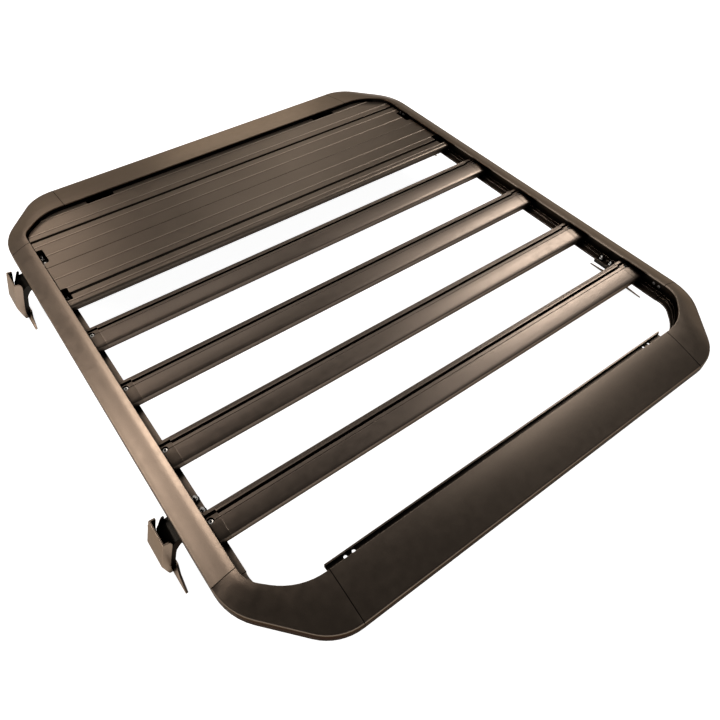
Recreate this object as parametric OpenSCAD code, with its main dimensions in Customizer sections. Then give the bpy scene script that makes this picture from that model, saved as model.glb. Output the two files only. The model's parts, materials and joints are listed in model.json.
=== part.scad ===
// Platform roof rack: a domed perimeter frame with four lofted corners, a
// planked deck at the rear, four slotted crossbars and four gutter feet.
// Millimetres, +Z up. The origin is on the ground plane under the middle of
// the rack, the wide fairing faces -Y and the planked deck lies towards +Y.

/* [Overall] */
// Length over the fairing and the rear rail
rack_l = 1453; // [1400:1:1700]
// Width over the two side rails
rack_w = 1275; // [1150:5:1400]
// Height of the frame's crest above the tips of the feet
crest_z = 150; // [146:1:180]

/* [Frame section] */
// Width of a side rail
rail_w = 50; // [46:1:60]
// Fall of the side rail's dome from its inner to its outer edge
rail_fall = 16; // [12:1:20]
// Height of the frame section
rail_h = 46; // [44:1:54]
// Wall of the frame section
skin = 3.5; // [2.5:0.5:4.5]
// Overhang of the crest lip in front of the web
lip_w = 13; // [9:1:16]
// Reach of the ledge inboard of the crest lip
ledge_w = 15.5; // [13:0.5:22]
// Depth of the ledge below the crest
ledge_drop = 38.5; // [36:0.5:39]
// Thickness of the ledge
ledge_t = 4; // [3:0.5:5]
// Width of the rear rail
rear_w = 112; // [90:1:125]
// Fall of the rear rail's dome
rear_fall = 19; // [12:1:22]

/* [Fairing] */
// Width of the front fairing
fairing_w = 101; // [83:1:118]
// Fall of the fairing from its inner edge to its front shoulder
fairing_fall = 23; // [14:1:25]
// Width of the flat band along the inner edge
band_w = 10; // [6:1:16]
// Reach of the accessory channel behind the fairing
channel_w = 17; // [14:1:24]
// Depth of the channel's lip below the crest
channel_drop = 13; // [8:1:18]
// Depth of the channel itself
channel_depth = 8; // [5:1:12]
// Diameter of the holes in the channel
channel_hole_d = 8; // [5:0.5:9]

/* [Corners] */
// Reach of each corner piece along the end, from the rail's inner edge
end_reach = 126; // [118:1:145]
// Reach of the front corners along the side, from the fairing's inner edge
front_reach = 96; // [90:1:115]
// Reach of the rear corners along the side, from the rear rail's inner edge
rear_reach = 102; // [94:1:120]
// Where the front diagonals meet the side line, from the front of the rack
front_cut = 148; // [142:1:153]
// Where the rear diagonals meet the side line, from the back of the rack
rear_cut = 142; // [134:1:150]

/* [Crossbars] */
// Open bay between the last crossbar and the accessory channel
front_bay = 142; // [100:1:170]
// Width of a crossbar
bar_w = 66; // [60:1:76]
// Depth of the crossbars' top below the crest
bar_drop = 10; // [8:0.5:13]
// Width of the slot opening
slot_w = 7; // [5:0.5:9]
// Length of the end bracket on each crossbar
cap_l = 23; // [20:1:32]
// Diameter of the bolts that hold the end brackets
cap_bolt_d = 6.6; // [4.5:0.1:7]

/* [Deck] */
// Width of the two middle planks
plank_w = 113; // [100:1:120]
// Slot between the planks
deck_gap = 9; // [7:0.5:12]
// Width of the nosed plank at the front of the deck
nose_w = 38; // [32:1:44]
// Depth of the deck below the crest
deck_drop = 11; // [9:0.5:14]
// Clearance between the deck or bars and the frame
fit_gap = 2.5; // [1:0.5:4]

/* [Feet] */
// Middle of the front feet, from the front of the rack
front_foot_y = 358; // [343:1:383]
// Distance between the front and rear feet
foot_span = 831; // [700:1:850]
// Width of a foot's knee bracket
knee_w = 55; // [45:1:60]
// Length of the gutter shoe
shoe_l = 170; // [120:1:180]
// Wall of the clamp cover
cover_wall = 3.5; // [2.5:0.5:4.5]
// Rise of the gutter shoe's blade from its lower to its upper edge
shoe_rise = 17; // [12:1:20]
// Diameter of the bolts that hold the feet
foot_bolt_d = 6.6; // [5:0.1:7]
// Spacing of those bolts along the rail
foot_bolt_pitch = 29; // [24:0.5:34]

/* [Hidden] */
sides = ["left", "right"];
ends = ["front", "rear"];
clips = ["nose", "middle", "rear"];
bar_n = 4;

$fn = 48;
out_x = rack_w / 2;
out_y = rack_l / 2;
in_x = out_x - rail_w;
rear_in_y = out_y - rear_w;
front_in_y = out_y - fairing_w;
seam_x = in_x - end_reach;
front_seam_y = front_in_y - front_reach;
rear_seam_y = rear_in_y - rear_reach;
// Each corner outline is where its diagonal cuts the end line and the side
// line, and the straight runs it keeps before the side seam and the end seam
front_inner = [[68, 68], [2.3, 5.8]];
front_outer = [[127, front_cut], [1, 1]];
rear_inner = [[68, 57], [22, 13]];
rear_outer = [[126, rear_cut], [15, 2]];
ledge_z = crest_z - ledge_drop;
rim_h = 5;
groove_h = 2.5;
groove_d = 1.5;
shoulder_r = 4;
dome_steps = 6;
foot_in = 10;
plate_d = 50.5;
shoe_edge_u = 36;
shoe_top_u = 24;
shoe_t = 3.5;
shoe_tip_h = 1.2;
shoe_bend = 18;
shoe_flat = 4.5;
cover_l = knee_w + 2 * cover_wall;
cover_clear = 0.2;
bolt_x = in_x - ledge_w / 2;
foot_ys = [-out_y + front_foot_y, -out_y + front_foot_y + foot_span];
channel_holes_x = [seam_x - 58, seam_x - 40];
channel_hole_y = channel_w - skin - channel_hole_d / 2 - 0.6;

deck_x = in_x - fit_gap;
deck_h = ledge_drop - deck_drop;
deck_skin = 3;
deck_lip = 16;
leg_w = 14;
deck_rib_w = 3;
deck_rib_h = 0.8;
seam_gap = 0.5;
rear_plank_w = 84;
deck_back_y = rear_in_y - fit_gap;
rear_plank_front = deck_back_y - rear_plank_w;
mid_1_back = rear_plank_front - deck_gap;
mid_2_back = mid_1_back - plank_w - seam_gap;
nose_back = mid_2_back - plank_w - deck_gap;
nose_front_y = nose_back - nose_w;
notch_in = 15;
side_notches = [[mid_1_back - 91, mid_1_back - 35], [nose_back - 17, nose_back + 29]];
rear_notch = [330, 407];
notch_floor = 3;
notch_r = 4.5;
clip_t = 2.5;
clip_gap = 0.5;
clip_hole_d = 5.5;
leg_feet_y = [mid_1_back - plank_w + 28, nose_back - nose_w / 2 + 2];
rear_leg_y = deck_back_y - 24;

bar_first_y = nose_front_y - 91;
bar_pitch = (bar_first_y - bar_w + front_in_y - channel_w - front_bay) / (bar_n - 1);
bar_end_x = in_x - fit_gap;
bar_h = ledge_drop - bar_drop;
slot_at = 11.5;
slot_lip = 2.5;
slot_side = 3;
slot_depth = 9;
bar_lip_h = 18.5;
bar_wall = 3;
strip_w = 7;
core_in = 14;
cap_slot_at = 7.5;
cap_slot_depth = 7;
counterbore_d = 14;
paint = "#5b5047";
shade = "#2b2825";

// A frame section is described by: width, fall, lip overhang, inboard end of
// the ledge, band width, band fall, rib place, rib width and rib height.
side_form = [rail_w, rail_fall, lip_w, -ledge_w, 7, 1, 0, 2.6, 2.6];
rear_form = [rear_w, rear_fall, lip_w, -ledge_w, 7, 1, 0, 2.6, 2.6];
front_form = [fairing_w, fairing_fall, 3, 1.5, band_w, 1, 1.9, 0.5, 0.02];

function dome(f, fall, band_fall) = -band_fall - (fall - band_fall) * pow(f, 1.2);

// Upper surface of a section, from the crest lip to the outer wall
function crest(w, fall, band, band_fall) = concat(
    [[0, 0]],
    [for (i = [0 : dome_steps])
        let (f = i / dome_steps)
        [band + (w - shoulder_r - band) * f, dome(f, fall, band_fall)]],
    [for (a = [60, 30, 0])
        [w - shoulder_r + shoulder_r * cos(a), -fall - shoulder_r * (1 - sin(a))]]
);

// The same surface a wall lower, read from the outer wall back to the web
function under_crest(w, fall, band, band_fall, web) = concat(
    [[w - skin, -fall - shoulder_r - skin / 2]],
    [for (i = [dome_steps : -1 : 0])
        let (
            at = web + (w - shoulder_r - web) * i / dome_steps,
            f = max(0, at - band) / (w - shoulder_r - band)
        )
        [at, dome(f, fall, band_fall) - skin]]
);

// Outer wall with its groove and bottom rim, and the foot that turns inwards
function outer_wall(w) = [
    [w, -rail_h + rim_h + groove_h],
    [w - groove_d, -rail_h + rim_h + groove_h],
    [w - groove_d, -rail_h + rim_h],
    [w, -rail_h + rim_h],
    [w, -rail_h],
    [w - foot_in, -rail_h],
    [w - foot_in, -rail_h + skin],
    [w - skin - groove_d, -rail_h + skin],
    [w - skin - groove_d, -rail_h + rim_h + groove_h + skin]
];

// Closed outline in (distance from the lip, height below the crest)
function section(p) = let (
    w = p[0], fall = p[1], lip = p[2], ledge = p[3], band = p[4],
    band_fall = p[5], rib = p[6], rib_w = p[7], rib_h = p[8]
) concat(
    crest(w, fall, band, band_fall),
    outer_wall(w),
    under_crest(w, fall, band, band_fall, lip + skin),
    [[lip + skin, -ledge_drop - ledge_t], [ledge, -ledge_drop - ledge_t]],
    [[ledge, -ledge_drop], [rib, -ledge_drop], [rib, -ledge_drop + rib_h]],
    [[rib + rib_w, -ledge_drop + rib_h], [rib + rib_w, -ledge_drop]],
    [[lip, -ledge_drop], [lip, -skin - band_fall], [0, -skin]]
);

// Fairing outline: the same dome and wall, with an accessory channel behind it
function fairing_section() = let (
    p = front_form, w = p[0], fall = p[1], lip = p[2], band = p[4], band_fall = p[5],
    floor_z = -channel_drop - channel_depth
) concat(
    crest(w, fall, band, band_fall),
    outer_wall(w),
    under_crest(w, fall, band, band_fall, lip + skin),
    [[lip + skin, -ledge_drop - ledge_t], [lip, -ledge_drop - ledge_t]],
    [[lip, floor_z - skin], [-channel_w, floor_z - skin], [-channel_w, -channel_drop]],
    [[-channel_w + skin, -channel_drop], [-channel_w + skin, floor_z]],
    [[lip, floor_z], [lip, -skin - band_fall], [0, -skin]]
);

// Plan of a corner: two bends joined by a straight diagonal. Points are
// (distance from the side line, distance from the end line).
function rot2(v, a) = [v.x * cos(a) - v.y * sin(a), v.x * sin(a) + v.y * cos(a)];
function unit(v) = v / norm(v);
function bend(at, u, v, room, n) = let (
    turn = acos(u * v),
    start = at - u * room,
    centre = start + rot2(u, 90) * room / tan(turn / 2)
) [for (i = [0 : n]) centre + rot2(start - centre, turn * i / n)];
function corner_path(reach, outline) = let (
    cut = outline[0],
    lead = outline[1],
    diagonal = unit([cut.x, -cut.y])
) concat(
    [[0, reach.y]],
    bend([0, cut.y], [0, -1], diagonal, reach.y - cut.y - lead.x, 6),
    bend([cut.x, 0], diagonal, [1, 0], reach.x - cut.x - lead.y, 8),
    [[reach.x, 0]]
);

// Triangles that fill an outline, cut off one corner at a time
function turn_of(a, b, c) = (b.x - a.x) * (c.y - a.y) - (b.y - a.y) * (c.x - a.x);
function is_ear(p, left, i) = let (
    n = len(left),
    a = p[left[(i + n - 1) % n]],
    b = p[left[i]],
    c = p[left[(i + 1) % n]]
) turn_of(a, b, c) < -1e-6 && len([for (j = left)
    let (q = p[j])
    if (q != a && q != b && q != c && turn_of(a, b, q) <= 0 && turn_of(b, c, q) <= 0
        && turn_of(c, a, q) <= 0) j]) == 0;
function triangles(p, left) = len(left) < 3 ? [] : let (
    n = len(left),
    i = [for (k = [0 : n - 1]) if (is_ear(p, left, k)) k][0]
) concat(
    [[left[(i + n - 1) % n], left[i], left[(i + 1) % n]]],
    triangles(p, [for (k = [0 : n - 1]) if (k != i) left[k]])
);

// Loft of a corner in the +X +Y quarter, from the side rail's section to the
// end rail's. The inner path carries the crest lip, the outer one the wall.
// What lies outboard of the lip points at the wall, and the ledge stands
// square to the inner path.
module corner_loft(in_y, seam_y, inner_outline, outer_outline, end_form) {
    inner = corner_path([in_x - seam_x, in_y - seam_y], inner_outline);
    outer = corner_path([out_x - seam_x, out_y - seam_y], outer_outline);
    last = len(inner) - 1;
    from = [for (q = inner) [in_x, in_y] - q];
    to = [for (q = outer) [out_x, out_y] - q];
    outlines = [for (k = [0 : last])
        let (mixed = side_form + (end_form - side_form) * k / last)
        section(concat([norm(to[k] - from[k])], [for (j = [1 : len(mixed) - 1]) mixed[j]]))];
    rings = [for (k = [0 : last])
        let (
            way = unit(to[k] - from[k]),
            square_to = rot2(unit(from[min(k + 1, last)] - from[max(k - 1, 0)]), -90)
        )
        [for (q = outlines[k])
            let (at = from[k] + q.x * (q.x < 0 ? square_to : way))
            [at.x, at.y, crest_z + q.y]]];
    n = len(rings[0]);
    polyhedron(
        points = [for (r = rings, q = r) q],
        faces = concat(
            triangles(outlines[0], [for (j = [0 : n - 1]) j]),
            [for (t = triangles(outlines[last], [for (j = [0 : n - 1]) j]))
                [for (j = [2, 1, 0]) last * n + t[j]]],
            [for (k = [0 : last - 1], j = [0 : n - 1])
                let (m = (j + 1) % n)
                each [
                    [k * n + j, (k + 1) * n + j, k * n + m],
                    [k * n + m, (k + 1) * n + j, (k + 1) * n + m]
                ]]
        )
    );
}

module on_side(s) {
    if (s == "left") mirror([1, 0, 0]) children();
    else children();
}
module on_end(e) {
    if (e == "front") mirror([0, 1, 0]) children();
    else children();
}

module corner(e, s) {
    color(paint) on_side(s) on_end(e)
        if (e == "front")
            corner_loft(front_in_y, front_seam_y, front_inner, front_outer, front_form);
        else
            corner_loft(rear_in_y, rear_seam_y, rear_inner, rear_outer, rear_form);
}

// Holes through the ledge: one under each end bracket and two over each foot
module ledge_holes() {
    for (i = [1 : bar_n])
        translate([bolt_x, bar_bolt_y(i), ledge_z - 20])
            cylinder(d = cap_bolt_d, h = 40);
    for (y = foot_ys, k = [-1, 1])
        translate([bolt_x, y + k * foot_bolt_pitch / 2, ledge_z - 20])
            cylinder(d = foot_bolt_d, h = 40);
}

module side_rail(s) {
    color(paint) on_side(s) difference() {
        translate([in_x, rear_seam_y, crest_z]) rotate([90, 0, 0])
            linear_extrude(rear_seam_y + front_seam_y) polygon(section(side_form));
        ledge_holes();
        clip_holes();
    }
}

module rear_rail() {
    color(paint) difference() {
        translate([-seam_x, rear_in_y, crest_z]) rotate([90, 0, 90])
            linear_extrude(2 * seam_x) polygon(section(rear_form));
        for (s = sides) on_side(s) clip_holes();
    }
}

module front_fairing() {
    color(paint) difference() {
        translate([seam_x, -front_in_y, crest_z]) rotate([90, 0, -90])
            linear_extrude(2 * seam_x) polygon(fairing_section());
        for (s = [-1, 1], x = channel_holes_x)
            translate([s * x, -front_in_y + channel_hole_y, crest_z - channel_drop - 20])
                cylinder(d = channel_hole_d, h = 30);
    }
}

// Crossbar outline in (distance from the rear edge towards the front, height)
function bar_face() = let (
    from = slot_at + slot_w + strip_w + 1.2,
    reach = bar_w - 3 - from
) concat(
    [for (i = [0 : 5]) [from + reach * i / 5, -4.5 * pow(i / 5, 1.6)]],
    [[bar_w - 0.8, -5.8], [bar_w, -7.6]]
);
function ridges(from, n) = [for (i = [0 : 1 : n - 1])
    each [[from + 2.6 * i, 0], [from + 2.6 * i + 0.7, -0.6], [from + 2.6 * i + 1.4, 0]]];
function bar_top(slot_from, slot_to, slot_bottom, ridge_n) = concat(
    [[0, -0.8], [0.8, 0]],
    ridges(1.6, ridge_n),
    [[slot_from, 0], [slot_from, slot_bottom]],
    [[slot_to, slot_bottom], [slot_to, 0]],
    [[slot_at + slot_w + strip_w, 0], [slot_at + slot_w + strip_w, -0.8]],
    [[slot_at + slot_w + strip_w + 1.2, -0.8]],
    bar_face()
);
module bar_section() {
    difference() {
        polygon(concat(
            bar_top(slot_at, slot_at + slot_w, -slot_lip, 3),
            [[bar_w, -bar_lip_h], [bar_w - bar_wall, -bar_lip_h]],
            [[bar_w - bar_wall, -12], [bar_w - core_in, -12]],
            [[bar_w - core_in, -bar_h], [core_in - 9, -bar_h]],
            [[core_in - 9, -bar_lip_h + 6], [0, -bar_lip_h + 6]]
        ));
        translate([slot_at - slot_side, -slot_depth])
            square([slot_w + 2 * slot_side, slot_depth - slot_lip + 0.01]);
        translate([core_in - 6, -bar_h + bar_wall])
            square([bar_w - 2 * core_in + 3, bar_h - slot_depth - 2 * bar_wall]);
    }
}
function bar_rear_y(i) = bar_first_y - (i - 1) * bar_pitch;
function bar_bolt_y(i) = bar_rear_y(i) - 23.5;

module across(y, z, x0, x1) {
    translate([x1, y, z]) rotate([90, 0, -90]) linear_extrude(x1 - x0) children();
}

module crossbar(i) {
    color(paint) across(bar_rear_y(i), crest_z - bar_drop, -bar_end_x + cap_l, bar_end_x - cap_l)
        bar_section();
}

module bar_end(i, s) {
    color(paint) on_side(s) difference() {
        across(bar_rear_y(i), crest_z - bar_drop, bar_end_x - cap_l, bar_end_x)
            polygon(concat(
                bar_top(cap_slot_at, cap_slot_at + slot_w, -cap_slot_depth, 0),
                [[bar_w, -bar_lip_h], [bar_w - core_in, -bar_h]],
                [[core_in - 9, -bar_h], [0, -bar_lip_h + 6]]
            ));
        translate([bolt_x, bar_bolt_y(i), ledge_z - 1])
            cylinder(d = cap_bolt_d, h = bar_h + 2);
        translate([bolt_x, bar_bolt_y(i), crest_z - bar_drop - 8])
            cylinder(d = counterbore_d, h = 12);
    }
}

// Deck planks, rear to front. Each has a lipped skin with raised ribs and two
// legs that stand on the ledge.
function rib(at) = [[at - deck_rib_w / 2 - 0.8, 0], [at - deck_rib_w / 2, deck_rib_h],
    [at + deck_rib_w / 2, deck_rib_h], [at + deck_rib_w / 2 + 0.8, 0]];
function leg(at, under) = [[at + leg_w / 2, under], [at + leg_w / 2 - 4, -deck_h + 4],
    [at + leg_w / 2, -deck_h + 3], [at + leg_w / 2, -deck_h],
    [at - leg_w / 2, -deck_h], [at - leg_w / 2, -deck_h + 3],
    [at - leg_w / 2 + 4, -deck_h + 4], [at - leg_w / 2, under]];
module plank_section(w, ribs, legs) {
    polygon(concat(
        [[0, -0.8], [0.8, 0]],
        [for (r = ribs) each rib(r)],
        [[w - 0.8, 0], [w, -0.8]],
        [[w, -deck_lip], [w - deck_skin, -deck_lip], [w - deck_skin, -deck_skin]],
        [for (k = [len(legs) - 1 : -1 : 0]) each leg(legs[k], -deck_skin)],
        [[deck_skin, -deck_skin], [deck_skin, -deck_lip], [0, -deck_lip]]
    ));
}
// Outline of the deck inside the rear corners, as seen from above
module deck_plan() {
    path = corner_path([in_x - seam_x, rear_in_y - rear_seam_y], rear_inner);
    right = [for (q = path) [in_x - fit_gap - q.x, rear_in_y - fit_gap - q.y]];
    left = [for (k = [len(right) - 1 : -1 : 0]) [-right[k].x, right[k].y]];
    polygon(concat([[deck_x, 0]], right, left, [[-deck_x, 0]]));
}
module plank(back, w, ribs, legs) {
    color(paint) difference() {
        intersection() {
            across(back, crest_z - deck_drop, -deck_x, deck_x) plank_section(w, ribs, legs);
            translate([0, 0, ledge_z - 1]) linear_extrude(deck_h + 3) deck_plan();
        }
        deck_notches();
    }
}
// Notches where the deck is screwed to the ledge
module notch(x0, x1, y0, y1) {
    r = notch_r;
    corners = [[x1 - r, y1 - r, 0], [x0 + r, y1 - r, 90], [x0 + r, y0 + r, 180],
        [x1 - r, y0 + r, 270]];
    translate([0, 0, ledge_z + notch_floor]) linear_extrude(deck_h + 5)
        polygon([for (c = corners, a = [0 : 30 : 90])
            [c.x + r * cos(c.z + a), c.y + r * sin(c.z + a)]]);
}
module deck_notches() {
    for (s = sides) on_side(s) {
        for (n = side_notches) notch(deck_x - notch_in, deck_x + 5, n[0], n[1]);
        notch(rear_notch[0], rear_notch[1], deck_back_y - notch_in, deck_back_y + 5);
    }
}
// Step clips that hold the planks' legs down on the ledge, in the notches.
// The outline is (distance from the leg's foot, height above the ledge).
function side_clip_y(c) = let (
    n = c == "middle" ? side_notches[0] : side_notches[1],
    foot = (c == "middle" ? leg_feet_y[0] : leg_feet_y[1]) + leg_w / 2 + clip_gap
) [foot, n[1] - clip_gap];
module clip_outline(tongue, l) {
    polygon([[0, 0], [l, 0], [l, notch_floor + clip_t], [-tongue, notch_floor + clip_t],
        [-tongue, notch_floor + 0.1], [0, notch_floor + 0.1]]);
}
module clip_holes() {
    for (c = ["middle", "nose"], f = [0.25, 0.75])
        let (y = side_clip_y(c))
        translate([bolt_x, y[0] + (y[1] - y[0]) * f, ledge_z - 10])
            cylinder(d = clip_hole_d, h = 30);
    for (f = [0.25, 0.75])
        translate([rear_notch[0] + (rear_notch[1] - rear_notch[0]) * f,
                rear_in_y - ledge_w / 2, ledge_z - 10])
            cylinder(d = clip_hole_d, h = 30);
}
module deck_clip(c, s) {
    side = side_clip_y(c);
    rear_foot = rear_leg_y + leg_w / 2 + clip_gap;
    rear_l = rear_notch[1] - rear_notch[0] - 2 * clip_gap;
    color(shade) on_side(s) difference() {
        if (c == "rear")
            translate([rear_notch[0] + clip_gap, rear_foot, ledge_z]) rotate([90, 0, 90])
                linear_extrude(rear_l) clip_outline(2.5, rear_in_y - clip_gap - rear_foot);
        else
            translate([deck_x - notch_in + clip_gap, side[0], ledge_z]) rotate([90, 0, 90])
                linear_extrude(notch_in + fit_gap - 2 * clip_gap)
                    clip_outline(3.5, side[1] - side[0]);
        clip_holes();
    }
}
module nose_section() {
    polygon(concat(
        [[0, -0.8], [0.8, 0]],
        rib(nose_w / 2),
        [for (a = [90 : -15 : 0]) [nose_w - 8 + 8 * cos(a), -8 + 8 * sin(a)]],
        [[nose_w, -deck_lip], [nose_w - deck_skin, -deck_lip], [nose_w - deck_skin, -9]],
        [[nose_w - 8, -deck_skin]],
        leg(nose_w / 2 - 2, -deck_skin),
        [[deck_skin, -deck_skin], [deck_skin, -deck_lip], [0, -deck_lip]]
    ));
}
module deck_plank_rear() {
    plank(deck_back_y, rear_plank_w, [17, 64], [24, 66]);
}
module deck_plank_middle_1() {
    plank(mid_1_back, plank_w, [20, 66.5], [28, plank_w - 28]);
}
module deck_plank_middle_2() {
    plank(mid_2_back, plank_w, [plank_w - 64, plank_w - 19], [28, plank_w - 28]);
}
module deck_plank_nose() {
    color(paint) difference() {
        across(nose_back, crest_z - deck_drop, -deck_x, deck_x) nose_section();
        deck_notches();
    }
}

// Feet, in (distance outboard of the rail's wall, height above the tips).
// Points in hang() are given by their depth below the crest.
function hang(points) = [for (q = points) [q.x, crest_z - q.y]];
function blade_h(u) = shoe_rise * (shoe_edge_u - u) / (shoe_edge_u - shoe_top_u);

module at_foot(e, s) {
    on_side(s) translate([out_x, e == "front" ? foot_ys[0] : foot_ys[1], 0]) children();
}
module slab(from, to) {
    translate([0, to, 0]) rotate([90, 0, 0]) linear_extrude(to - from) children();
}
module knee_outline() {
    web_in = -rail_w + lip_w + skin;
    polygon(concat(
        hang([[-rail_w - ledge_w, ledge_drop + ledge_t], [web_in, ledge_drop + ledge_t]]),
        hang([[web_in, rail_h], [-8, rail_h], [-8, 59], [6.6, 61], [19.4, 70.5], [25.7, 79]]),
        [[34, 32], [34, blade_h(34)], [shoe_top_u, shoe_rise], [21.5, 31], [17, 47]],
        hang([[13.5, 92], [10.4, 87], [3.1, 79], [-1.9, 76], [-30, 72]]),
        hang([[bolt_x - out_x + 10.5, plate_d], [-rail_w - ledge_w, plate_d]])
    ));
}
// Rear plate of the knee, which ends in a prong beside the rail
module prong_outline() {
    polygon(hang([[8.5, 62.5], [4.2, 52], [5.4, 49], [9.6, 50], [14.8, 58.5], [19.5, 68],
        [25.5, 77.5], [22, 84], [8, 80]]));
}
module foot_knee(e, s) {
    color(shade) at_foot(e, s) difference() {
        union() {
            slab(-knee_w / 2, knee_w / 2) knee_outline();
            slab(knee_w / 2 - 3, knee_w / 2) prong_outline();
        }
        for (k = [-1, 1])
            translate([bolt_x - out_x, k * foot_bolt_pitch / 2, crest_z - 80])
                cylinder(d = foot_bolt_d, h = 60);
    }
}
// Sloping blade that reaches into the gutter, tapered towards both tips
module gutter_shoe(e, s) {
    slope = atan2(shoe_rise, shoe_edge_u - shoe_top_u);
    full = knee_w / 2 + cover_wall;
    color(shade) at_foot(e, s) intersection() {
        slab(-shoe_l / 2, shoe_l / 2) polygon([
            [shoe_top_u, shoe_rise], [shoe_edge_u, 0], [shoe_edge_u - shoe_flat, 0],
            [shoe_top_u - shoe_t * sin(slope), shoe_rise - shoe_t * cos(slope)]
        ]);
        rotate([90, 0, 90]) linear_extrude(shoe_edge_u + 5) polygon([
            [-shoe_l / 2, -1], [shoe_l / 2, -1], [shoe_l / 2, shoe_tip_h],
            [full + shoe_bend, 0.46 * shoe_rise], [full, 0.86 * shoe_rise],
            [full, shoe_rise + 0.5], [-full, shoe_rise + 0.5],
            [-full, 0.86 * shoe_rise], [-full - shoe_bend, 0.46 * shoe_rise],
            [-shoe_l / 2, shoe_tip_h]
        ]);
    }
}
// The cover is a channel that is open above and inboard, with a flange at
// each end that reaches in beside the knee
module cover_outline() {
    polygon(concat(
        hang([[15.6, 55.5], [17.4, 48.5], [20, 45.6], [31.5, 44], [36.3, 60]]),
        [[49.3, 44], [49.9, 40], [48.6, 32], [45.2, 13], [42.6, 1.6], [41, 0]],
        [[shoe_edge_u + 0.3, 0], [34.6, blade_h(34.6) + 0.25], [35.8, 12], [33.5, 30]],
        hang([[30.4, 108], [23.8, 85], [17.4, 64]])
    ));
}
module cover_hollow() {
    w = cover_wall - 0.5;
    polygon(concat(
        hang([[-10, 27], [31.5 - 6, 27], [31.5 - w, 44.8], [36.3 - w, 61]]),
        [[49.3 - w, 43.1], [49.9 - w, 40], [48.6 - w, 32.6], [45.2 - w, 13.8]],
        [[42.6 - w, 5.5], [39, 3.5], [37.5, 3.5], [30, 13], [-10, 50]]
    ));
}
module cover_trim() {
    polygon(hang([[8, 40], [18.7, 40], [19.4, 50], [22.2, 60.5], [24.9, 71], [26.4, 80.5],
        [28.6, 95], [8, 95]]));
}
module clamp_cover(e, s) {
    inside = knee_w / 2 + cover_clear / 2;
    color(paint) at_foot(e, s) difference() {
        slab(-cover_l / 2, cover_l / 2) cover_outline();
        slab(-inside, inside) cover_hollow();
        slab(inside - 0.1, cover_l / 2 + 1) cover_trim();
    }
}

side_rail("left");  // left_side_rail
side_rail("right");  // right_side_rail
rear_rail();
front_fairing();
for (e = ends, s = sides)
    corner(e, s);
deck_plank_rear();
deck_plank_middle_1();
deck_plank_middle_2();
deck_plank_nose();
for (c = clips, s = sides)
    deck_clip(c, s);
for (i = [1 : bar_n])
    crossbar(i);
for (i = [1 : bar_n], s = sides)
    bar_end(i, s);
for (e = ends, s = sides) {
    foot_knee(e, s);
    gutter_shoe(e, s);
    clamp_cover(e, s);
}
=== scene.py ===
"""Looks of the platform roof rack: finishes, fasteners, floor, light and camera.

Lengths are in metres, in the frame of the solids, unless a comment says otherwise.
"""
import json
import math

import bmesh
import bpy
from mathutils import Matrix, Vector


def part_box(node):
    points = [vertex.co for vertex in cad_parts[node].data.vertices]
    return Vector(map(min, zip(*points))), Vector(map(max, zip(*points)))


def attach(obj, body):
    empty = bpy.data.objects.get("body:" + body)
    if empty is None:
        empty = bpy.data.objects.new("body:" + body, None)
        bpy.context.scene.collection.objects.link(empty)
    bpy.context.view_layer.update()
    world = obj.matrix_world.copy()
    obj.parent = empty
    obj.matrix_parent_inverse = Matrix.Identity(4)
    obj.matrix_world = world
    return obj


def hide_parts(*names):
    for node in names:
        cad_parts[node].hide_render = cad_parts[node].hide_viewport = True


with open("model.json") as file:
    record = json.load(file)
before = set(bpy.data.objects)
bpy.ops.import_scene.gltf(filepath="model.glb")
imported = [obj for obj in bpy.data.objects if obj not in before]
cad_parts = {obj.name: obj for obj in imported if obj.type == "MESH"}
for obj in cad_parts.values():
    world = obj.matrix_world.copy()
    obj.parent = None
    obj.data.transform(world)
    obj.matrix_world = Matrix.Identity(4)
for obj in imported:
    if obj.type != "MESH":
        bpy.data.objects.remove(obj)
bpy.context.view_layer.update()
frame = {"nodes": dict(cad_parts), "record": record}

MM = 0.001
SIDES = (("left", -1), ("right", 1))

# Heights of the solids, as in the part's source
CREST_Z = 0.150
DECK_Z = 0.139
LEDGE_Z = CREST_Z - 0.0385
BAR_DROP = 0.010
COUNTERBORE = 0.008

# Places taken from the solids
LEDGE_BOLT_IN = 0.00775
WEB_IN = 0.0285
rail_low, rail_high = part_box("right_side_rail")
fairing_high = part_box("front_fairing")[1]
rear_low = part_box("rear_rail")[0]
SEAM_X = fairing_high[0]
FRONT_SEAM_Y, REAR_SEAM_Y = rail_low[1], rail_high[1]
LEDGE_X = rail_low[0]
BOLT_X = LEDGE_X + LEDGE_BOLT_IN
WEB_X = LEDGE_X + WEB_IN
REAR_BOLT_Y = rear_low[1] + LEDGE_BOLT_IN

# Colours
FRAME = (0.22, 0.170, 0.130)
DECK = (0.245, 0.192, 0.148)
BAR = (0.22, 0.171, 0.134)
END = (0.16, 0.124, 0.096)
COVER = (0.31, 0.235, 0.178)
CLIP = (0.02, 0.018, 0.016)
FOOT = (0.022, 0.020, 0.017)
WASHER_BLACK = (0.03, 0.028, 0.026)
BRIGHT_STEEL = (0.5, 0.48, 0.45)
DARK_STEEL = (0.16, 0.15, 0.14)

# Satin coat: clouds, specks and grain are noises, and a larger scale is finer
METALLIC, ROUGH, ROUGH_SPREAD = 0.95, 0.33, 0.03
EDGE_TINT = (0.42, 0.38, 0.34)
CLOUD_SCALE, CLOUD_DARK, CLOUD_PALE = 5, 0.93, 1.07
SPECK_SCALE, SPECK_DARK, SPECK_PALE = 900, 0.94, 1.06
ROUGH_SCALE = 60
GRAIN_SCALE, GRAIN_STRENGTH, GRAIN_DEPTH = 1500, 0.25, 0.0002
# Bevel radius and the painted highlight on edges that look up, and the painted shade of faces that look
# down
BEVEL, EDGE_HIGHLIGHT = 0.0011, 2.2
UNDERSIDE_SHADE = 0.08
# Heights above which the painted shade of corners and steep faces stops: the frame's, and one no face
# reaches
FRAME_LIT_ABOVE, LIT_BLEND = 0.1405, 0.002
NEVER_LIT = 9.0
RIB_RISE = 0.0003

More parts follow.
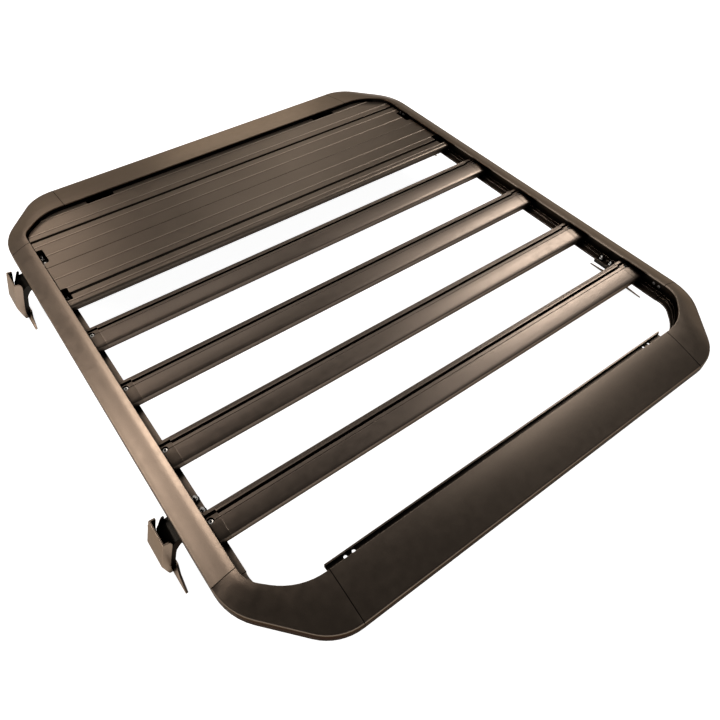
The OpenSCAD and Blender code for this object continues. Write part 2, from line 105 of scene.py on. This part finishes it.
# Joints between the rails and the corners
SEAM_HALF, SEAM_TONE = 0.0009, 0.06
SEAM_BEYOND_X, SEAM_BEYOND_Y = 0.56, 0.59

# Edges are kept where two faces meet at more than this, in degrees
SOLID_SHARP, FASTENER_SHARP = 38, 35
WELD = 1e-5

# Fasteners turned from rings in millimetres: radius and height, or half the width across a hexagon's
# flats, height, "hex" and, where the hexagon's corners are rounded off, their radius
SOCKET_SCREW = [(4.6, 0), (5, 0.4), (5, 5.2), (4.5, 5.8), (3.1, 5.8), (2.5, 5.6, "hex"),
                (2.5, 2.6, "hex"), (0.5, 2.2)]
BUTTON_SCREW = [(4.4, 0), (4.5, 0.5), (4.1, 1.5), (3.1, 2.3), (2.1, 2.6), (1.5, 2.5, "hex"),
                (1.5, 1.1, "hex"), (0.3, 0.9)]
WASHER_T = 1.8
WASHER = [(8.2, 0), (8.5, 0.3), (8.5, 1.5), (8.2, WASHER_T), (3.3, WASHER_T), (3.2, 1.2)]
NUT_AND_STUD = [(4.9, 0), (5, 0.5, "hex", 5.6), (5, 4.4, "hex", 5.6), (4.8, 5), (3.4, 5), (3.0, 4.6),
                (3.0, 11.2), (2.5, 12), (0.4, 12)]
RING_STEPS = 36

# Places of the fasteners
BAR_COUNT = 4
END_SCREW_IN = 0.0235
FOOT_BOLT_STEPS = (-0.0145, 0.0145)
WEB_SCREW_STEPS = (0.017, 0.032)
WEB_SCREW_Z = 0.125
CLIP_SCREW_SHARES = (0.25, 0.75)
CLIP_TAB = 0.0035
REAR_CLIP_MARGIN = 0.0005

# Black sheets under the side notches, painted shade that makes the notches look dark
PLATE_DROP, PLATE_T, PLATE_TURN = 0.004, 0.0015, 0.003
PLATE_UNDER_LEDGE, PLATE_INWARD, PLATE_PAST_CLIP = 0.002, 0.016, 0.012

# Camera, solved from the rack's own right angles
CAMERA_AT = (-0.6836, -0.9910, 1.208)
CAMERA_RIGHT = (0.80267, -0.59631, 0.01135)
CAMERA_UP = (0.45116, 0.61951, 0.64239)
CAMERA_BACK = (-0.39009, -0.51051, 0.76630)
LENS_MM, SENSOR_MM = 32.12, 36

# Floor: radius and height of its rings, and the radii between which its glow fades
FLOOR_RINGS = [(11.0, 0.0), (13.0, 0.5), (14.0, 2.0), (14.2, 6.0)]
FLOOR_STEPS = 64
FLOOR_ALBEDO, FLOOR_GLOW, FAR_GLOW = 0.8, 0.96, 0.4
GLOW_FADE = (3.0, 6.5)
WORLD = 0.05

# Lamps: name, azimuth from +X and elevation in degrees, width, power in watts, colour
LAMP_DISTANCE = 4
WHITE, WARM = (1, 1, 1), (1, 0.93, 0.88)
LAMPS = [
    ("right", 24, 45, 1.0, 2, WHITE),
    ("right_side", 13, 42, 1.0, 28, WHITE),
    ("right_back", 38, 46, 1.0, 2.5, WHITE),
    ("right_low", 350, 55, 1.4, 6, WHITE),
    ("left", 132, 55, 1.0, 33, WARM),
    ("left_middle", 124, 49, 1.0, 10, WARM),
    ("left_back", 114, 42, 1.0, 5, WARM),
    ("left_side", 150, 30, 1.2, 24, WARM),
    ("back_high", 77, 57, 1.2, 3.8, WHITE),
    ("back_middle", 66, 34, 1.0, 1.2, WHITE),
    ("back_low", 70, 13, 1.2, 7, WHITE),
    ("back", 98, 28, 1.0, 6, WARM),
    ("back_right", 57, 24, 1.0, 2.2, WHITE),
]


# Materials

class Nodes:
    """Short calls that build a material's node tree."""

    def __init__(self, name):
        self.material = bpy.data.materials.new(name)
        self.material.use_nodes = True
        self.tree = self.material.node_tree
        self.shader = self.tree.nodes["Principled BSDF"]
        self.coords = self.add("ShaderNodeTexCoord")

    def add(self, kind, **values):
        node = self.tree.nodes.new(kind)
        for key, value in values.items():
            setattr(node, key, value)
        return node

    def link(self, out, into):
        self.tree.links.new(out, into)

    def feed(self, value, socket):
        """A socket is linked, and a number or a colour is set."""
        if isinstance(value, bpy.types.NodeSocket):
            self.link(value, socket)
        elif isinstance(value, (int, float)):
            socket.default_value = value
        else:
            socket.default_value = (*value, 1)

    def math(self, operation, a, b=0.0):
        node = self.add("ShaderNodeMath", operation=operation)
        self.feed(a, node.inputs[0])
        self.feed(b, node.inputs[1])
        return node.outputs[0]

    def remap(self, value, low, high, to_low=0.0, to_high=1.0):
        node = self.add("ShaderNodeMapRange")
        for part, socket in zip((value, low, high, to_low, to_high), node.inputs):
            self.feed(part, socket)
        return node.outputs[0]

    def noise(self, scale, detail, stretch=(1, 1, 1)):
        mapping = self.add("ShaderNodeMapping")
        mapping.inputs["Scale"].default_value = stretch
        noise = self.add("ShaderNodeTexNoise")
        noise.inputs["Scale"].default_value = scale
        noise.inputs["Detail"].default_value = detail
        self.link(self.coords.outputs["Object"], mapping.inputs["Vector"])
        self.link(mapping.outputs["Vector"], noise.inputs["Vector"])
        return noise.outputs["Fac"]

    def occlusion(self, reach, samples):
        node = self.add("ShaderNodeAmbientOcclusion", samples=samples)
        node.inputs["Distance"].default_value = reach
        return node.outputs["AO"]

    def place(self):
        """X, Y and Z in the frame of the solids."""
        split = self.add("ShaderNodeSeparateXYZ")
        self.link(self.coords.outputs["Object"], split.inputs[0])
        return split.outputs

    def facing_up(self):
        """1 where a face looks up, 0 where it is upright and -1 where it looks down."""
        split = self.add("ShaderNodeSeparateXYZ")
        self.link(self.coords.outputs["Normal"], split.inputs[0])
        return split.outputs[2]

    def mix(self, factor, a, b, blend="MIX"):
        """Sockets 6 and 7 and output 2 are the node's colours."""
        node = self.add("ShaderNodeMix", data_type="RGBA", blend_type=blend)
        self.feed(factor, node.inputs[0])
        self.feed(a, node.inputs[6])
        self.feed(b, node.inputs[7])
        return node.outputs[2]

    def times(self, a, b):
        return self.mix(1.0, a, b, "MULTIPLY")

    def near(self, value, at, half):
        return self.math("LESS_THAN", self.math("ABSOLUTE", self.math("SUBTRACT", value, at)), half)

    def edges(self, radius):
        """(rounded normal, mask of the sharp edges)"""
        bevel = self.add("ShaderNodeBevel", samples=6)
        bevel.inputs["Radius"].default_value = radius
        geometry = self.add("ShaderNodeNewGeometry")
        dot = self.add("ShaderNodeVectorMath", operation="DOT_PRODUCT")
        self.link(bevel.outputs[0], dot.inputs[0])
        self.link(geometry.outputs["Normal"], dot.inputs[1])
        return bevel.outputs[0], self.remap(dot.outputs["Value"], 0.985, 0.80)


def scaled(colour, factor):
    return [min(1, c * factor) for c in colour]


def seams(m):
    """Mask of the joints between the rails and the corners."""
    x, y, _ = m.place()
    across = m.math("ABSOLUTE", x)
    side = m.math("MAXIMUM", m.near(y, FRONT_SEAM_Y, SEAM_HALF), m.near(y, REAR_SEAM_Y, SEAM_HALF))
    side = m.math("MULTIPLY", side, m.math("GREATER_THAN", across, SEAM_BEYOND_X))
    end = m.math("MULTIPLY", m.near(across, SEAM_X, SEAM_HALF),
                 m.math("GREATER_THAN", m.math("ABSOLUTE", y), SEAM_BEYOND_Y))
    return m.math("MAXIMUM", side, end)


def coat(name, colour, flank=0.35, full=0.55, edge_highlight=0.5, reach=0.018, shade=1.6,
         lit_above=NEVER_LIT, ribs=0.0, joints=False):
    """Satin coat with painted shade in corners, on steep faces and below, and painted highlights on edges
    and ribs.

    The painted shade of corners darkens within reach, to the power of shade. As painted shade, an upright
    face keeps the share flank of the colour, and a face whose normal rises to full keeps all of it.
    Neither of these darkens above lit_above. Faces that look down are darkened too, as painted shade, and
    the deck's ribs are painted lighter by the factor ribs, as a painted highlight.
    """
    m = Nodes(name)
    height = m.place()[2]
    cloud = m.remap(m.noise(CLOUD_SCALE, 3), 0.3, 0.7)
    tone = m.mix(cloud, scaled(colour, CLOUD_DARK), scaled(colour, CLOUD_PALE))
    tone = m.times(tone, m.remap(m.noise(SPECK_SCALE, 2), 0.35, 0.65, SPECK_DARK, SPECK_PALE))
    # Painted shade: occlusion darkens corners and recesses, steep faces and faces that look down are
    # darkened, and above lit_above the corners and steep faces are spared
    occlusion = m.occlusion(reach, 12)
    up = m.facing_up()
    lit = m.remap(height, lit_above, lit_above + LIT_BLEND)
    corner = m.math("MAXIMUM", m.math("POWER", occlusion, shade), lit)
    steep = m.math("MAXIMUM", m.remap(up, 0.05, full, flank, 1.0), lit)
    below = m.remap(up, -0.5, -0.25, UNDERSIDE_SHADE, 1.0)
    for part in (corner, steep, below):
        tone = m.times(tone, part)
    # Painted highlight: the deck's ribs are painted lighter
    if ribs:
        rib = m.math("GREATER_THAN", height, DECK_Z + RIB_RISE)
        tone = m.mix(rib, tone, scaled(colour, ribs))
    # Painted highlight on sharp edges that look up
    normal, sharp = m.edges(BEVEL)
    pale = m.math("MULTIPLY", m.math("MULTIPLY", sharp, edge_highlight), m.remap(up, 0.1, 0.5))
    tone = m.mix(pale, tone, scaled(colour, EDGE_HIGHLIGHT))
    if joints:
        tone = m.mix(seams(m), tone, scaled(colour, SEAM_TONE))
    m.link(tone, m.shader.inputs["Base Color"])
    m.shader.inputs["Metallic"].default_value = METALLIC
    m.shader.inputs["Specular Tint"].default_value = (*EDGE_TINT, 1)
    rough = m.remap(m.noise(ROUGH_SCALE, 4), 0.3, 0.7, ROUGH - ROUGH_SPREAD, ROUGH + ROUGH_SPREAD)
    m.link(rough, m.shader.inputs["Roughness"])
    bump = m.add("ShaderNodeBump")
    bump.inputs["Strength"].default_value = GRAIN_STRENGTH
    bump.inputs["Distance"].default_value = GRAIN_DEPTH
    m.link(m.noise(GRAIN_SCALE, 2), bump.inputs["Height"])
    m.link(normal, bump.inputs["Normal"])
    m.link(bump.outputs["Normal"], m.shader.inputs["Normal"])
    return m.material


def steel(name, colour, rough):
    """Bare steel with fine scratches, and painted shade from occlusion in its socket."""
    m = Nodes(name)
    scratch = m.remap(m.noise(400, 3, stretch=(1, 8, 1)), 0.3, 0.7, 0.9, 1.1)
    tone = m.times(m.times(colour, scratch), m.occlusion(0.006, 8))
    m.link(tone, m.shader.inputs["Base Color"])
    m.shader.inputs["Metallic"].default_value = 1.0
    m.link(m.remap(m.noise(250, 2), 0.3, 0.7, rough - 0.05, rough + 0.05), m.shader.inputs["Roughness"])
    return m.material


# Pieces

def finish_mesh(mesh, material, sharp):
    """Smooth shading with the edges sharper than the angle kept."""
    mesh.materials.append(material)
    mesh.polygons.foreach_set("use_smooth", [True] * len(mesh.polygons))
    mesh.set_sharp_from_angle(angle=math.radians(sharp))


def add_piece(name, mesh):
    piece = bpy.data.objects.new(name, mesh)
    bpy.context.scene.collection.objects.link(piece)
    return piece


def dress(name, material):
    """A copy of a solid's own mesh with its curved faces shaded smooth and its edges kept."""
    bm = bmesh.new()
    bm.from_mesh(frame["nodes"][name].data)
    bmesh.ops.remove_doubles(bm, verts=bm.verts, dist=WELD)
    bm.verts.index_update()
    places = [v.co.copy() for v in bm.verts]
    faces = [[v.index for v in f.verts] for f in bm.faces]
    bm.free()
    mesh = bpy.data.meshes.new("finished_" + name)
    mesh.from_pydata(places, [], faces)
    finish_mesh(mesh, material, SOLID_SHARP)
    piece = add_piece("finished_" + name, mesh)
    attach(piece, "root")
    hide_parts(name)


def hex_radius(apothem, angle):
    """Distance from a hexagon's middle to its outline."""
    return apothem / math.cos((angle + math.pi / 6) % (math.pi / 3) - math.pi / 6)


def ring_radius(ring, angle):
    radius = ring[0] * MM
    if len(ring) > 2:
        radius = hex_radius(radius, angle)
    if len(ring) > 3:
        radius = min(radius, ring[3] * MM)
    return radius


def turned_mesh(name, rings, material):
    bm = bmesh.new()
    rows = []
    for ring in rings:
        row = []
        for k in range(RING_STEPS):
            angle = 2 * math.pi * k / RING_STEPS
            radius = ring_radius(ring, angle)
            row.append(bm.verts.new((radius * math.cos(angle), radius * math.sin(angle), ring[1] * MM)))
        rows.append(row)
    for a, b in zip(rows, rows[1:]):
        for k in range(RING_STEPS):
            n = (k + 1) % RING_STEPS
            bm.faces.new((a[k], a[n], b[n], b[k]))
    bm.faces.new(list(reversed(rows[0])))
    bm.faces.new(rows[-1])
    mesh = bpy.data.meshes.new(name)
    bm.to_mesh(mesh)
    bm.free()
    finish_mesh(mesh, material, FASTENER_SHARP)
    return mesh


turned_meshes = {}


def turned(name, rings, at, material, lie=Matrix.Identity(4)):
    """A turned fastener. Those of one kind and material share their mesh."""
    key = (str(rings), material.name)
    if key not in turned_meshes:
        turned_meshes[key] = turned_mesh(name, rings, material)
    piece = add_piece(name, turned_meshes[key])
    piece.matrix_world = Matrix.Translation(at) @ lie
    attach(piece, "root")


def notch_shade_plate(name, across, along, material):
    """A thin black sheet with round corners below the ledge, painted shade that makes a notch look dark
    from above.
    """
    x0, x1 = sorted(across)
    y0, y1 = along
    top, turn = LEDGE_Z - PLATE_DROP, PLATE_TURN
    loop = []
    for cx, cy, start in ((x1 - turn, y1 - turn, 0), (x0 + turn, y1 - turn, 90),
                          (x0 + turn, y0 + turn, 180), (x1 - turn, y0 + turn, 270)):
        for step in range(4):
            a = math.radians(start + 30 * step)
            loop.append((cx + turn * math.cos(a), cy + turn * math.sin(a)))
    n = len(loop)
    places = [(x, y, z) for z in (top - PLATE_T, top) for x, y in loop]
    faces = [tuple(reversed(range(n))), tuple(range(n, 2 * n))]
    faces += [(i, (i + 1) % n, n + (i + 1) % n, n + i) for i in range(n)]
    mesh = bpy.data.meshes.new(name)
    mesh.from_pydata(places, [], faces)
    mesh.materials.append(material)
    piece = add_piece(name, mesh)
    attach(piece, "root")


def end_screw(i, side, k, bright):
    """The bolt that sinks into an end bracket's counterbore."""
    low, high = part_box("bar_end_%d_%s" % (i, side))
    turned("end_screw_%d_%s" % (i, side), SOCKET_SCREW,
           (k * BOLT_X, high[1] - END_SCREW_IN, CREST_Z - BAR_DROP - COUNTERBORE), bright)


def foot_nuts(end, side, k, bright, black):
    """Washers, nuts and studs on the ledge above a foot."""
    low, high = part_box("foot_knee_%s_%s" % (end, side))
    middle = (low[1] + high[1]) / 2
    for n, step in enumerate(FOOT_BOLT_STEPS, 1):
        x, y = k * BOLT_X, middle + step
        turned("foot_washer_%s_%s_%d" % (end, side, n), WASHER, (x, y, LEDGE_Z), black)
        turned("foot_nut_%s_%s_%d" % (end, side, n), NUT_AND_STUD, (x, y, LEDGE_Z + WASHER_T * MM), bright)


def web_screws(end, side, k, dark):
    """The screws of a corner's joint, on the inner face of the rail's web."""
    seam, inward = (FRONT_SEAM_Y, 1) if end == "front" else (REAR_SEAM_Y, -1)
    lie = Matrix.Rotation(-k * math.pi / 2, 4, "Y")
    for n, step in enumerate(WEB_SCREW_STEPS, 1):
        turned("web_screw_%s_%s_%d" % (end, side, n), BUTTON_SCREW,
               (k * WEB_X, seam + inward * step, WEB_SCREW_Z), dark, lie)


def side_clip(clip, side, k, bright, black):
    """The screws of a clip on a side rail's ledge, and the black sheet of painted shade under its notch.
    """
    low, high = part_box("deck_clip_%s_%s" % (clip, side))
    notch_shade_plate("clip_notch_shade_%s_%s" % (clip, side),
          (k * (LEDGE_X + PLATE_UNDER_LEDGE), k * (LEDGE_X - PLATE_INWARD)),
          (low[1], high[1] + PLATE_PAST_CLIP), black)
    start = low[1] + CLIP_TAB
    for n, share in enumerate(CLIP_SCREW_SHARES, 1):
        turned("clip_screw_%s_%s_%d" % (clip, side, n), BUTTON_SCREW,
               (k * BOLT_X, start + (high[1] - start) * share, high[2]), bright)


def rear_clip(side, bright):
    """The screws of a clip on the rear rail's ledge."""
    low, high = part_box("deck_clip_rear_" + side)
    span = high[0] - low[0] + 2 * REAR_CLIP_MARGIN
    for n, share in enumerate(CLIP_SCREW_SHARES, 1):
        turned("clip_screw_rear_%s_%d" % (side, n), BUTTON_SCREW,
               (low[0] - REAR_CLIP_MARGIN + span * share, REAR_BOLT_Y, high[2]), bright)


def add_fasteners(bright, dark, black):
    for side, k in SIDES:
        for i in range(1, BAR_COUNT + 1):
            end_screw(i, side, k, bright)
        for end in ("front", "rear"):
            foot_nuts(end, side, k, bright, black)
            web_screws(end, side, k, dark)
        for clip in ("nose", "middle"):
            side_clip(clip, side, k, bright, black)
        rear_clip(side, bright)


# Stage

def floor_mesh():
    """A disc with a rising rim."""
    bm = bmesh.new()
    turns = [2 * math.pi * k / FLOOR_STEPS for k in range(FLOOR_STEPS)]
    rows = [[bm.verts.new((r * math.cos(a), r * math.sin(a), z)) for a in turns] for r, z in FLOOR_RINGS]
    bm.faces.new(rows[0])
    for a, b in zip(rows, rows[1:]):
        for k in range(FLOOR_STEPS):
            n = (k + 1) % FLOOR_STEPS
            bm.faces.new((a[k], b[k], b[n], a[n]))
    mesh = bpy.data.meshes.new("floor")
    bm.to_mesh(mesh)
    bm.free()
    return mesh


def floor_material():
    """Matt white that takes shadows, with a glow for the camera and for reflections."""
    m = Nodes("floor_white")
    m.shader.inputs["Base Color"].default_value = (FLOOR_ALBEDO, FLOOR_ALBEDO, FLOOR_ALBEDO, 1)
    m.shader.inputs["Roughness"].default_value = 0.95
    m.shader.inputs["Specular IOR Level"].default_value = 0.0
    path = m.add("ShaderNodeLightPath")
    seen = m.math("MAXIMUM", path.outputs["Is Camera Ray"],
                  m.math("MAXIMUM", path.outputs["Is Glossy Ray"], path.outputs["Is Transmission Ray"]))
    glow = m.add("ShaderNodeEmission")
    x, y, _ = m.place()
    radius = m.math("SQRT", m.math("ADD", m.math("MULTIPLY", x, x), m.math("MULTIPLY", y, y)))
    m.link(m.remap(radius, *GLOW_FADE, FLOOR_GLOW, FAR_GLOW), glow.inputs["Strength"])
    both = m.add("ShaderNodeAddShader")
    m.link(m.shader.outputs[0], both.inputs[0])
    m.link(glow.outputs[0], both.inputs[1])
    pick = m.add("ShaderNodeMixShader")
    m.link(seen, pick.inputs[0])
    m.link(m.shader.outputs[0], pick.inputs[1])
    m.link(both.outputs[0], pick.inputs[2])
    m.link(pick.outputs[0], m.tree.nodes["Material Output"].inputs["Surface"])
    return m.material


def add_floor():
    """White floor that rises far away into a pale grey wall."""
    mesh = floor_mesh()
    floor = add_piece("floor", mesh)
    mesh.materials.append(floor_material())


def add_camera():
    data = bpy.data.cameras.new("camera")
    data.lens = LENS_MM
    data.sensor_width = SENSOR_MM
    data.clip_start = 0.05
    data.clip_end = 100
    camera = bpy.data.objects.new("camera", data)
    turn = Matrix((CAMERA_RIGHT, CAMERA_UP, CAMERA_BACK)).transposed().to_4x4()
    camera.matrix_world = Matrix.Translation(CAMERA_AT) @ turn
    bpy.context.scene.collection.objects.link(camera)
    bpy.context.scene.camera = camera


def add_lamp(name, azimuth, elevation, size, power, colour):
    data = bpy.data.lights.new(name, "AREA")
    data.size = size
    data.energy = power
    data.color = colour
    lamp = bpy.data.objects.new(name, data)
    a, e = math.radians(azimuth), math.radians(elevation)
    way = Vector((math.cos(e) * math.cos(a), math.cos(e) * math.sin(a), math.sin(e)))
    lamp.location = way * LAMP_DISTANCE
    lamp.rotation_euler = way.to_track_quat("Z", "Y").to_euler()
    bpy.context.scene.collection.objects.link(lamp)


def add_world():
    world = bpy.data.worlds.new("studio")
    world.use_nodes = True
    background = world.node_tree.nodes["Background"]
    background.inputs["Color"].default_value = (1, 1, 1, 1)
    background.inputs["Strength"].default_value = WORLD
    bpy.context.scene.world = world


add_camera()
bpy.context.scene.view_settings.view_transform = "Standard"
add_floor()
add_world()
for lamp in LAMPS:
    add_lamp(*lamp)

# Flank, full, reach, shade and lit_above set each coat's painted shade; ribs sets the painted highlight on
# the deck's ribs
coats = {
    "frame_coat": coat("frame_coat", FRAME, flank=0.12, reach=0.03, shade=2.2,
                       lit_above=FRAME_LIT_ABOVE, joints=True),
    "deck_coat": coat("deck_coat", DECK, flank=0.15, reach=0.008, shade=2.4, ribs=1.8),
    "bar_coat": coat("bar_coat", BAR, flank=0.25, full=0.35, shade=2.4),
    "end_coat": coat("end_coat", END, flank=0.25, full=0.35, shade=2.4),
    "clip_coat": coat("clip_coat", CLIP, flank=0.8),
    "foot_coat": coat("foot_coat", FOOT, flank=0.8),
    "cover_coat": coat("cover_coat", COVER, flank=0.9),
}
slots = {entry["node"]: entry["material_slot"] for entry in frame["record"]["subparts"]}
for name in sorted(frame["nodes"]):
    dress(name, coats[slots[name]])
# The black coat is shared by the washers and by the black sheets of painted shade under the notches
add_fasteners(steel("bright_steel", BRIGHT_STEEL, 0.3), steel("dark_steel", DARK_STEEL, 0.4),
              coat("black_washer_and_notch_shade", WASHER_BLACK, flank=0.8, edge_highlight=0.9))
